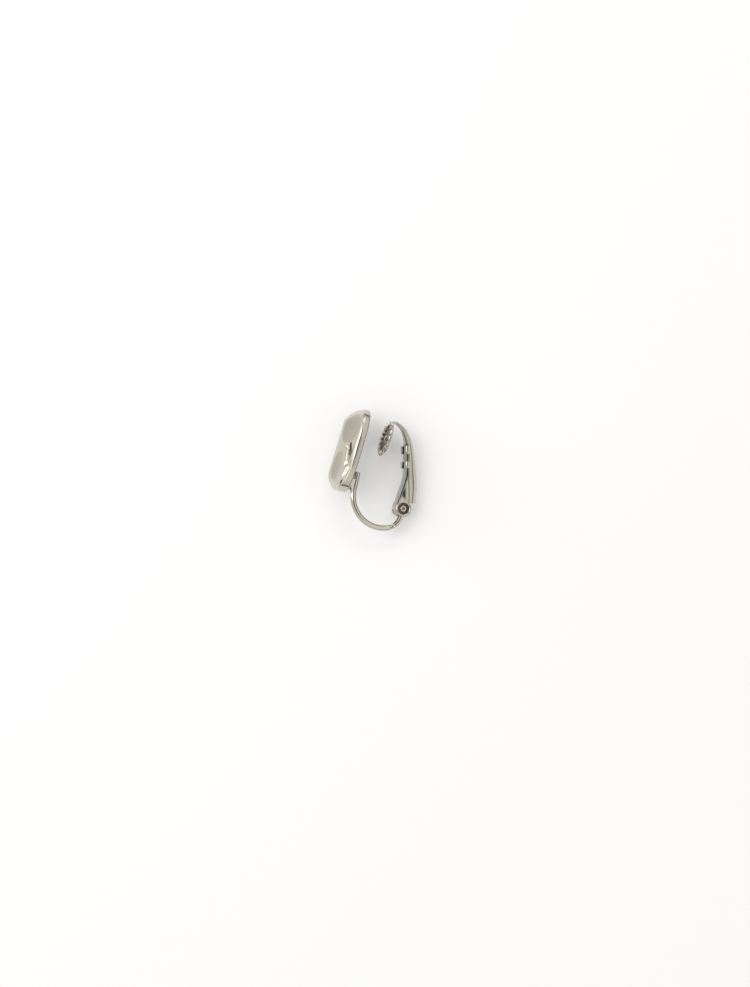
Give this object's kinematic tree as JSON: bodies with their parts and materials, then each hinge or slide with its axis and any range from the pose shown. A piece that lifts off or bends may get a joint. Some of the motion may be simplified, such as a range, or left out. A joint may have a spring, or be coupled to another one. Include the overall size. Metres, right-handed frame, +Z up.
{
  "type": "clip-on earring",
  "caption": "Clip-on earring: a hammered nugget front soldered to a wire yoke, with a hinged lever that presses a ribbed round pad towards the back of the front.",
  "frame": {"origin": "middle of the base of the bounding box, on the table that the earring lies on", "axes": "+Y up the clip from the yoke's bend to the pad, +X from the front to the lever, +Z up off the table"},
  "size_m": [0.0142, 0.0196, 0.0084],
  "materials": {
    "front_plate": "polished warm silver-coloured metal, lightly hammered",
    "lever_plate": "polished warm silver-coloured metal",
    "spring_steel": "plain bright spring strip",
    "rivet_metal": "bright rivet, dark in its hollow"
  },
  "bodies": {
    "yoke": {"front_and_yoke": "front_plate"},
    "lever": {"lever": "lever_plate", "leaf_spring": "spring_steel", "hinge_rivet": "rivet_metal"}
  },
  "joints": [
    {"name": "lever_hinge", "type": "hinge", "parent": "yoke", "child": "lever", "pos_m": [0.00459, -0.00621, 0.0018], "axis": [-0.2195, 0.0689, -0.9732], "range_deg": [0, 90]}
  ]
}
